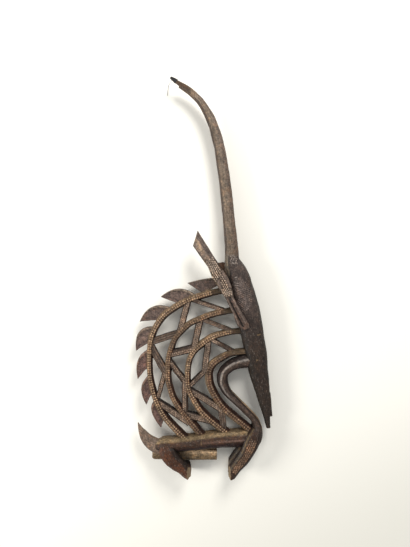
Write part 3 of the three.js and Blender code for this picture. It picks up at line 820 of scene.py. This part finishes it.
def broken_leg(rows, break_at, forward, side, tone, seed):
    """One leg, broken off short along its foot and its inner edge."""
    x, y, slant = break_at
    leg = to_object("leg", [sweep(rows, 3.4, LEG_RING, tone, ripple(14, 5, 0.55, seed))])
    return cut(leg, [
        beyond((x, y, 0), (0, -1, 0), "raw"),
        beyond((x, y, side * LEG_INNER_Z), (forward, 0, side * slant), "raw"),
    ])


def broken_legs():
    # Painted light on the legs: a lit rim on the fore leg's side, and painted shade on their steep edges.
    fore = banded(
        LEG_RING, "shaded leg edge", (-0.86, -0.8, "lit leg rim"), (-0.72, -0.62, "shaded leg edge"), (-0.62, -0.5, "fore leg"),
        (0.42, 0.58, "shaded leg edge"))
    hind = banded(LEG_RING, "hind leg", (0.5, 0.62, "shaded leg edge"))
    legs = []
    for side in (1, -1):
        for rows, break_at, forward, tone, seed in (
                (FORE_LEG, FORE_LEG_BREAK, -1, fore, 61), (HIND_LEG, HIND_LEG_BREAK, 1, hind, 67)):
            rows = rows if side > 0 else mirrored(rows)
            legs.append(broken_leg(rows, break_at, forward, side, tone, seed))
    return legs


def ear_stump():
    """What is left of the far ear."""
    y, slant = FAR_EAR_BREAK
    blade = ear(-1)
    blade.points[:, 0] += FAR_EAR_SHIFT
    lost = beyond((FAR_EAR_SHIFT, y, -HALF_DEPTH), (0, 1, slant), "stump")
    return cut(to_object("ear_stump", [blade]), [lost])


def crest_body():
    """The carving without its small marks, as one solid."""
    leaves = [leaf(corners) for corners in MANE_POINTS]
    body = joined("crest_carving", [*horns(), *head(), neck(), *torso(), *arcs(), *leaves, ear(1)])
    struts = []
    for gap in range(len(STRUTS)):
        strut = joined(f"struts_{gap}", strut_shapes(gap))
        slab = to_object(f"slab_{gap}", [gap_slab(ARCS[gap], ARCS[gap + 1])])
        struts.append(combine(strut, [slab], "INTERSECT"))
    return combine(body, [*struts, ear_stump(), *broken_legs()], "UNION")


def warped(mesh):
    """Lets the whole carving stray a little from its true lines, as handwork does."""
    points = points_of(mesh)
    shifts = np.array([noise.noise_vector(Vector(point) / WARP_LENGTH) for point in points])
    moved = points + shifts * WARP * MM
    moved[:, 2] = np.where(points[:, 2] < ON_GROUND, points[:, 2], moved[:, 2])
    keep_in_box(moved)
    mesh.vertices.foreach_set("co", moved.astype(np.float32).ravel())


def keep_in_box(points):
    for axis in range(3):
        np.clip(points[:, axis], crest_low[axis], crest_high[axis], out=points[:, axis])


def lattice(line, half_width, columns, pitch, stagger=0.5):
    """Places in rows along a line: x, y and heading for each."""
    run = run_of(line)
    normals = normals_of(line)
    places = []
    for number, across in enumerate(columns):
        first = pitch * (0.5 + stagger * (number % 2))
        for s in np.arange(first, run[-1] - pitch * 0.4, pitch):
            x, y, nx, ny, w = (np.interp(s, run, v) for v in (*line.T, *normals.T, half_width))
            places.append((x + nx * w * across, y + ny * w * across, math.atan2(-nx, ny)))
    return places


class Marks:
    """Small marks on the carving's skin: raised ones on both faces, and dents on the near one."""

    def __init__(self, tree):
        self.tree = tree
        self.random = random.Random(5)
        self.raised = []
        self.dents = []

    def find(self, x, y, side, heights):
        """The skin at a place seen from one side, if its height over the middle plane is in range."""
        start = Vector(to_frame((x, y, side * (HALF_DEPTH + LOOK_FROM))))
        place, normal, _face, _far = self.tree.ray_cast(start, Vector((0, 0, -side)))
        if place is None or normal.z * side < STEEPEST:
            return None
        height = abs(place.z / MM - HALF_DEPTH)
        return (place, normal) if heights[0] <= height <= heights[1] else None

    def add(self, x, y, heading, kind, tone, behind=False):
        """A raised mark of a kind, and one behind it on the far face where asked."""
        size, heights, sides = MARKS[kind]
        for side in (1, -1) if behind else (1,):
            stray = self.random.uniform(-STRAY, STRAY), self.random.uniform(-STRAY, STRAY)
            turn = heading + self.random.uniform(-TURN, TURN)
            grow = self.random.uniform(*SIZES)
            found = self.find(x + stray[0], y + stray[1], side, heights)
            if found:
                shade = np.array(TONES[tone]) * self.random.uniform(*SHADES)
                corners = sides if side > 0 else FAR_MARK_SIDES
                self.raised.append(self.dome(*found, turn, np.array(size) * grow, shade, corners))

    def dent(self, x, y, heading, size):
        """A chip or crack that shows bare wood."""
        found = self.find(x, y, 1, (0, HALF_DEPTH + 1))
        if found:
            self.dents.append(self.dome(found[0], -found[1], heading, size, TONES["raw"], 8, raw=1.0))

    def dome(self, place, normal, turn, size, tone, sides, raw=0.0):
        long, wide, tall = size
        angle = (np.arange(sides) + 0.5) / sides * 2 * math.pi
        circle = np.stack([np.cos(angle) * long, np.sin(angle) * wide], 1)
        foot = np.c_[circle, np.full(sides, -FOOT_SUNK)]
        shoulder = np.c_[circle * SHOULDER[0], np.full(sides, tall * SHOULDER[1])]
        local = np.concatenate([foot, shoulder, [(0, 0, tall)]])
        up = np.array(normal)
        ahead = np.array((math.cos(turn), math.sin(turn), 0.0))
        ahead -= up * (ahead @ up)
        ahead /= np.linalg.norm(ahead)
        aside = np.cross(up, ahead)
        drawn = np.array(place) / MM + (DRAWING_MIDDLE[0], DRAWING_MIDDLE[1], -HALF_DEPTH)
        points = drawn + local[:, :1] * ahead + local[:, 1:2] * aside + local[:, 2:] * up
        top = 2 * sides
        faces = [tuple(reversed(range(sides)))]
        for i in range(sides):
            j = (i + 1) % sides
            faces.append((i, j, sides + j, sides + i))
            faces.append((sides + i, sides + j, top))
        flow = np.full((len(points), 2), place[0] / MM)
        return Shape(points, faces, tone, flow, raw)


def arc_marks(marks):
    """Two columns of beads down each arc, run together into bars where they are worn."""
    pitch = 5.2
    for arc in ARCS:
        row = along(arc["line"], evenly(arc["line"], 2))
        row = row[np.argmax(row[:, 0] < arc["beads_from"]):]
        low, high = arc.get("bars", (0, 0))
        for x, y, heading in lattice(row[:, :2], row[:, 2], (-0.4, 0.24), pitch, 0):
            kind = "bar" if low < y < high else "bead"
            marks.add(x, y, heading, kind, arc.get("beads", "bead"), behind=True)


def strut_marks(marks):
    pitch = 4.6
    for gap in STRUTS:
        for line, stippled, columns in gap:
            if stippled:
                row = along(line, np.linspace(*stippled, 40))
                for x, y, heading in lattice(row[:, :2], row[:, 2], columns, pitch):
                    marks.add(x, y, heading, "dot", "dot")


def ear_marks(marks):
    """Lozenges in a lattice across the middle of the ear."""
    front, back = ear_edges(2)
    line, half_width = (front + back) / 2, np.linalg.norm(front - back, axis=1) / 2
    hatched = (line[:, 1] < HATCH_FROM) & (line[:, 1] > HATCH_TO)
    columns = np.linspace(-0.6, 0.8, 6)
    for x, y, heading in lattice(line[hatched], half_width[hatched], -columns, 4.8):
        if not any(stroke(np.array((x, y)), *strip) > 0.3 for strip in EAR_PLAIN):
            marks.add(x, y, heading, "lozenge", "lozenge")


def leg_marks(marks):
    """Scales over the fore leg."""
    row = along([row[:3] for row in FORE_LEG], np.linspace(0.2, 0.86, 60))
    for x, y, heading in lattice(row[:, :2], row[:, 2], np.linspace(-0.36, 0.42, 4), 4.8):
        marks.add(x, y, heading, "scale", "scale", behind=True)


def fan(marks, centre, radii, angles, turn):
    """Ticks on arcs round a centre, each turned from the radius."""
    pitch = 4
    for number, radius in enumerate(radii):
        step = pitch / radius
        first = math.radians(angles[0]) + step * (number % 2) / 2
        for angle in np.arange(first, math.radians(angles[1]), step):
            x, y = centre[0] + radius * math.cos(angle), centre[1] + radius * math.sin(angle)
            marks.add(x, y, angle + turn, "tick", "tick")


def head_marks(marks):
    """Ticks that spread from the ear's root, an eye, and crossed cuts at the foot of the horn."""
    fan(marks, (57, -50), np.arange(17, 43, 4.2), (-62, 74), 0)
    fan(marks, (66, -6), (12, 16, 20), (-110, -30), math.pi / 2)
    marks.add(66, -8.7, math.radians(20), "eye", "scratch")
    for number, y in enumerate((-21, -26, -32)):
        marks.add(68 + number, y, math.radians(-6 - 6 * number), "groove", "scratch")
    for row in range(4):
        for column in range(4):
            x, y = 54.5 + column * 4 + (row % 2) * 2, 37 - row * 5
            marks.add(x, y, math.radians(62 if (row + column) % 2 else -58), "crossed cut", "scratch")


def hole(x, y, radius):
    """Peg to cut a hole right through the carving with; the hole's walls take its near-black painted shade.
    """
    sides = 10
    angle = np.arange(sides) / sides * 2 * math.pi
    return prism(np.c_[x + radius * np.cos(angle), y + radius * np.sin(angle)], HALF_DEPTH + 1, "pit shade")


def over_neighbours(mesh, values):
    """Sum of the values at each point's neighbours."""
    a, b = read(mesh.edges, "vertices", 2, np.int32).T
    count = len(values)
    return np.stack([
        np.bincount(a, column[b], count) + np.bincount(b, column[a], count) for column in values.T], 1)


def smoothed(mesh, values, rounds):
    """Values at the points, each eased towards its neighbours'."""
    count = over_neighbours(mesh, np.ones((len(values), 1)))
    for _ in range(rounds):
        values = (values + over_neighbours(mesh, values) / count) / 2
    return values


def filled(mesh, values, rounds):
    """Values of the points that the joins made, which have none, taken from their neighbours."""
    for _ in range(rounds):
        known = values[:, :1] > 0
        total = over_neighbours(mesh, np.where(known, values, 0))
        count = over_neighbours(mesh, known.astype(float))
        values = np.where(known, values, total / np.maximum(count, 1))
    return values


def normals_at(mesh):
    return read(mesh.vertices, "normal", 3)


def bends(mesh):
    """How far the skin bends out, above 0, or in, below 0, at each point."""
    mesh.calc_loop_triangles()
    corners = read(mesh.loop_triangles, "vertices", 3, np.int32)
    points, normals = points_of(mesh).astype(float), normals_at(mesh)
    total, weight = np.zeros(len(points)), np.zeros(len(points))
    for i, j in ((0, 1), (1, 2), (2, 0)):
        a, b = corners[:, i], corners[:, j]
        run = points[b] - points[a]
        length = np.linalg.norm(run, axis=1) + 1e-9
        turn = ((normals[b] - normals[a]) * run).sum(1) / length ** 2
        near = np.minimum(length, 3 * MM)
        for end in (a, b):
            total += np.bincount(end, turn * near, len(points))
            weight += np.bincount(end, near, len(points))
    return total / (weight + 1e-9)


def hidden_shares(mesh, tree):
    """How much of the sky near each point is shut off by the carving itself."""
    rays, reach, start_off = 10, 22 * MM, 0.4
    points, normals = points_of(mesh), normals_at(mesh)
    draw = np.random.default_rng(11)
    shares = np.zeros(len(points))
    directions = draw.normal(size=(rays, 3))
    directions /= np.linalg.norm(directions, axis=1)[:, None]
    cast = tree.ray_cast
    for index, (point, normal) in enumerate(zip(points, normals)):
        start = Vector(point + normal * start_off * MM)
        met = 0
        for direction in directions + normal:
            if cast(start, Vector(direction), reach)[0] is not None:
                met += 1
        shares[index] = met / rays
    return shares


def wear_grime_and_shade(mesh, tree):
    """Writes how worn and how freshly broken the skin is at each point, and how dark: dirt plus painted shade
    where the carving shuts off its own sky, in hollows and on steep sides.
    """
    bend = smoothed(mesh, np.clip(bends(mesh) / 500, -1, 1)[:, None], 1)[:, 0]
    hidden = hidden_shares(mesh, tree) if FINE else np.zeros(len(mesh.vertices))
    hidden = smoothed(mesh, hidden[:, None], 2)[:, 0]
    # Painted shade: the dark share grows where the carving shuts off its own sky and on steep sides, besides
    # dirt in hollows.
    steep = np.clip(1.2 - 1.4 * np.abs(normals_at(mesh)[:, 2]), 0, 1)
    worn = np.clip(bend, 0, 1)
    grime_and_shade = np.clip(hidden * 1.2 + np.clip(-bend, 0, 1) * 0.8 + steep * 0.25 - 0.2, 0, 1)
    tone, flow = (read(mesh.attributes[name].data, "vector", 3).astype(float) for name in ("tone", "flow"))
    values = filled(mesh, np.c_[tone, flow], 3)
    raw = smoothed(mesh, values[:, 5:], 1)[:, 0]
    write_vectors(mesh, "marks", np.c_[worn, grime_and_shade, raw])
    write_vectors(mesh, "tone", smoothed(mesh, values[:, :3], 1))
    write_vectors(mesh, "flow", values[:, 3:])


def carve_crest():
    body = crest_body()
    warped(body.data)
    tree = BVHTree.FromPolygons(
        [tuple(point) for point in points_of(body.data)], [tuple(p.vertices) for p in body.data.polygons])
    marks = Marks(tree)
    for carve in (arc_marks, strut_marks, ear_marks, leg_marks, head_marks):
        carve(marks)
    for x, y, heading, *size in CHIPS:
        marks.dent(x, y, math.radians(heading), size)
    combine(body, [to_object("marks", marks.raised)], "UNION")
    cut(body, [*marks.dents, hole(*NOSE_HOLE)])
    mesh = body.data
    points = points_of(mesh)
    keep_in_box(points)
    mesh.vertices.foreach_set("co", points.ravel())
    mesh.update()
    wear_grime_and_shade(mesh, tree)
    mesh.shade_smooth()
    mesh.set_sharp_from_angle(angle=math.radians(SHARP_DEGREES))
    return body


class Nodes:
    """Short calls for building a material's nodes."""

    def __init__(self, name):
        self.material = bpy.data.materials.new(name)
        self.material.use_nodes = True
        self.tree = self.material.node_tree
        self.shader = self.tree.nodes["Principled BSDF"]

    def put(self, kind, inputs=(), **settings):
        node = self.tree.nodes.new("ShaderNode" + kind)
        for key, value in settings.items():
            setattr(node, key, value)
        for key, value in dict(inputs).items():
            self.feed(value, node.inputs[key])
        return node

    def feed(self, value, socket):
        if isinstance(value, bpy.types.NodeSocket):
            self.tree.links.new(value, socket)
        else:
            socket.default_value = value

    def attribute(self, name):
        return self.put("Attribute", attribute_name=name).outputs["Vector"]

    def parts(self, vector):
        return self.put("SeparateXYZ", {0: vector}).outputs

    def math(self, operation, *values, clamp=False):
        return self.put("Math", dict(enumerate(values)), operation=operation, use_clamp=clamp).outputs[0]

    def stretched(self, vector, scale, turn=0.0):
        inputs = {"Vector": vector, "Scale": scale, "Rotation": (0, 0, turn)}
        return self.put("Mapping", inputs).outputs[0]

    def noise(self, vector, scale, detail=3.0, roughness=0.55):
        inputs = {"Vector": vector, "Scale": scale, "Detail": detail, "Roughness": roughness}
        return self.put("TexNoise", inputs).outputs["Fac"]

    def band(self, value, low, high, to_low=0.0, to_high=1.0):
        inputs = {"Value": value, "From Min": low, "From Max": high, "To Min": to_low, "To Max": to_high}
        return self.put("MapRange", inputs, interpolation_type="SMOOTHSTEP").outputs["Result"]

    def mix(self, share, first, second, blend="MIX"):
        node = self.put("Mix", data_type="RGBA", blend_type=blend)
        self.feed(share, node.inputs[0])
        for value, socket in ((first, node.inputs[6]), (second, node.inputs[7])):
            self.feed(value if isinstance(value, bpy.types.NodeSocket) else (*value[:3], 1), socket)
        return node.outputs[2]

    def grey(self, value):
        return self.put("CombineColor", {0: value, 1: value, 2: value}).outputs[0]


def carved_wood():
    """Old dark wood: its patina worn off the edges, dirt and painted shade in the hollows and on steep sides,
    and pale breaks.
    """
    n = Nodes("carved_wood")
    place = n.put("TexCoord").outputs["Object"]
    flow = n.attribute("flow")
    worn, grime_and_shade, raw = n.parts(n.attribute("marks"))[:3]
    tone = n.attribute("tone")

    blotch = n.noise(place, 26, 4)
    cloud = n.noise(place, 90, 3)
    grain = n.noise(place, 300, 3, 0.7)
    speck = n.noise(place, 620, 2, 0.6)
    fibre = n.noise(n.stretched(place, (620, 26, 620)), 1, 4, 0.6)
    streak = n.noise(n.stretched(flow, (70, 520, 1), 0.25), 1, 3, 0.6)
    fleck = n.noise(n.stretched(flow, (150, 420, 1), -0.5), 1, 2, 0.7)

    shade = 1.0
    for field, swing in ((blotch, 0.26), (cloud, 0.24), (grain, 0.5), (fibre, 0.18), (streak, 0.36)):
        shade = n.math("MULTIPLY", shade, n.band(field, 0.3, 0.7, 1 - swing, 1 + swing))
    colour = n.mix(1.0, tone, n.grey(shade), "MULTIPLY")
    ruddy = n.mix(1.0, colour, (1.1, 0.94, 0.8), "MULTIPLY")
    colour = n.mix(n.band(cloud, 0.5, 0.7, 0, 0.7), colour, ruddy)
    dusty = n.mix(0.5, colour, seen(168, 156, 146))
    colour = n.mix(n.band(fleck, 0.58, 0.7, 0, 0.7), colour, dusty)
    rubbed = n.mix(1.0, colour, (1.5, 1.42, 1.32), "MULTIPLY")
    wear = n.math("MULTIPLY", worn, n.band(speck, 0.35, 0.6, 0.2, 1.0), clamp=True)
    colour = n.mix(wear, colour, rubbed)
    # Painted shade with dirt: the colour is darkened by the dark share written on the skin.
    dark = n.mix(1.0, colour, (0.3, 0.26, 0.23), "MULTIPLY")
    colour = n.mix(n.math("MULTIPLY", grime_and_shade, 0.85), colour, dark)
    fresh = n.mix(1.0, tone, n.grey(n.band(fibre, 0.35, 0.65, 0.6, 1.2)), "MULTIPLY")
    colour = n.mix(n.math("MULTIPLY", raw, n.band(grain, 0.3, 0.5, 0.5, 1.0)), colour, fresh)

    height = n.math("ADD", n.math("MULTIPLY", streak, 0.5), n.math("MULTIPLY", fibre, 0.3))
    height = n.math("ADD", height, n.math("MULTIPLY", grain, 0.5))
    bump = n.put("Bump", {"Height": height, "Strength": 0.7, "Distance": 0.9 * MM})
    gloss = n.math("ADD", n.band(cloud, 0.3, 0.7, 0.46, 0.66), n.math("MULTIPLY", grime_and_shade, 0.2), clamp=True)
    n.feed(colour, n.shader.inputs["Base Color"])
    n.feed(gloss, n.shader.inputs["Roughness"])
    n.feed(bump.outputs[0], n.shader.inputs["Normal"])
    n.shader.inputs["Specular IOR Level"].default_value = 0.3
    return n.material


def twisted_thread(name, dark, light):
    n = Nodes(name)
    place = n.put("TexCoord").outputs["Object"]
    twist = n.put("TexWave", {"Vector": place, "Scale": 900.0, "Distortion": 3.0}, bands_direction="DIAGONAL")
    fluff = n.noise(place, 2600, 2)
    share = n.math("MULTIPLY", twist.outputs["Fac"], n.band(fluff, 0.3, 0.7, 0.5, 1.0))
    n.feed(n.mix(share, dark, light), n.shader.inputs["Base Color"])
    bump = n.put("Bump", {"Height": share, "Strength": 0.6, "Distance": 0.15 * MM})
    n.feed(bump.outputs[0], n.shader.inputs["Normal"])
    n.shader.inputs["Roughness"].default_value = 0.85
    n.shader.inputs["Sheen Weight"].default_value = 0.2
    return n.material


def wind_thread():
    """Thread wound in close turns round the tip of the near horn."""
    points_a_turn, sides, radius = 28, 6, THREAD_DIAMETER / 2
    count = BINDING_TURNS * points_a_turn
    share = np.linspace(0, 1, count)
    t = BINDING_FROM + (BINDING_TO - BINDING_FROM) * share
    row = along(HORN, t)
    normal = normals_of(row[:, :2])
    angle = share * BINDING_TURNS * 2 * math.pi
    c, s = np.cos(angle), np.sin(angle)
    squareness, gap = 3.2, 0.2 + radius
    a = np.sign(c) * np.abs(c) ** (2 / squareness) * (row[:, 2] + gap)
    d = np.sign(s) * np.abs(s) ** (2 / squareness) * (row[:, 3] + gap)
    path = np.c_[row[:, :2] + normal * a[:, None], row[:, 4] + d]
    return tube(path, radius, sides)


def tube(path, radius, sides):
    """Closed round skin along a path in the drawing."""
    heading = np.gradient(path, axis=0)
    heading /= np.linalg.norm(heading, axis=1)[:, None]
    aside = np.cross(heading, (0.35, 0.8, 0.48))
    aside /= np.linalg.norm(aside, axis=1)[:, None]
    up = np.cross(heading, aside)
    angle = np.arange(sides) / sides * 2 * math.pi
    offset = aside[:, None] * np.cos(angle)[None, :, None] + up[:, None] * np.sin(angle)[None, :, None]
    points = (path[:, None] + offset * radius).reshape(-1, 3)
    return Shape(points, ring_faces(len(path), sides), TONES["horn"], points[:, :2])


def add_camera():
    camera = bpy.data.cameras.new("camera")
    camera.sensor_width = SENSOR
    camera.lens = SENSOR / 2 / math.tan(FIELD_OF_VIEW / 2)
    eye = link(bpy.data.objects.new("camera", camera))
    eye.location = to_frame((0, 0, CAMERA_HEIGHT - HALF_DEPTH))
    bpy.context.scene.camera = eye


def lay_thread_end():
    """Loose end of the thread: down from the winding to the ground, and a little way along it."""
    path = to_frame(along(THREAD_ROUTE, np.linspace(0, 1, 33)))
    curve = bpy.data.curves.new("loose_thread", "CURVE")
    curve.dimensions = "3D"
    curve.bevel_depth = THREAD_DIAMETER / 2 * MM
    curve.bevel_resolution = 2
    curve.use_fill_caps = True
    spline = curve.splines.new("POLY")
    spline.points.add(len(path) - 1)
    for point, place in zip(spline.points, path):
        point.co = (*place, 1)
    thread = link(bpy.data.objects.new("loose_thread", curve))
    thread.data.materials.append(twisted_thread("loose_thread", seen(120, 116, 114), seen(196, 192, 190)))
    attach(thread, "root")
    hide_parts("thread_end")


def add_crest():
    crest = carve_crest()
    crest.data.materials.clear()
    crest.data.materials.append(carved_wood())
    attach(crest, "root")
    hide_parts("crest")


def add_winding():
    winding = to_object("thread_winding", [wind_thread()])
    winding.data.shade_smooth()
    winding.data.materials.append(twisted_thread("wound_thread", seen(20, 19, 20), seen(66, 62, 62)))
    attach(winding, "root")
    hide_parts("tip_binding")


def add_floor():
    mesh = bpy.data.meshes.new("floor")
    reach = 4.0
    corners = [(-reach, -reach, 0), (reach, -reach, 0), (reach, reach, 0), (-reach, reach, 0)]
    mesh.from_pydata(corners, [], [range(4)])
    floor = link(bpy.data.objects.new("floor", mesh))
    floor.location.z = -FLOOR_GAP
    n = Nodes("white_paper")
    place = n.put("TexCoord").outputs["Object"]
    across, up = n.parts(place)[:2]
    # Painted shade: the paper is made darker and creamier towards the lower right, where the light falls off.
    low = n.band(n.math("SUBTRACT", up, n.math("MULTIPLY", across, 0.35)), -0.75, -0.3, 1.0, 0.0)
    n.feed(n.mix(low, (0.95, 0.93, 0.86), (0.85, 0.83, 0.75)), n.shader.inputs["Base Color"])
    n.shader.inputs["Roughness"].default_value = 0.9
    n.shader.inputs["Specular IOR Level"].default_value = 0.1
    mesh.materials.append(n.material)


def add_lamp(name, place, size, brightness):
    """A round soft light that shines at the crest, as bright on white paper as asked."""
    place, target = Vector(place), Vector((0, -0.1, 0))
    ray = place - target
    light = bpy.data.lights.new(name, "AREA")
    light.shape = "DISK"
    light.size = size
    light.energy = brightness * math.pi ** 2 * ray.length ** 3 / ray.z
    light.color = (1, 0.98, 0.95)
    lamp = link(bpy.data.objects.new(name, light))
    lamp.location = place
    lamp.rotation_mode = "QUATERNION"
    lamp.rotation_quaternion = ray.to_track_quat("Z", "Y")


def light_scene():
    """An even sky, a soft light beyond the horn and a weaker one from the mane's side."""
    world = bpy.data.worlds.new("sky")
    world.use_nodes = True
    world.node_tree.nodes["Background"].inputs["Color"].default_value = (0.98, 0.99, 1, 1)
    world.node_tree.nodes["Background"].inputs["Strength"].default_value = SKY
    bpy.context.scene.world = world
    add_lamp("key", (0.5, 1.1, 1.15), 0.7, KEY)
    add_lamp("fill", (-1.5, -0.25, 1), 0.7, FILL)
    bpy.context.scene.view_settings.view_transform = "Standard"


add_camera()
lay_thread_end()
add_crest()
add_winding()
add_floor()
light_scene()
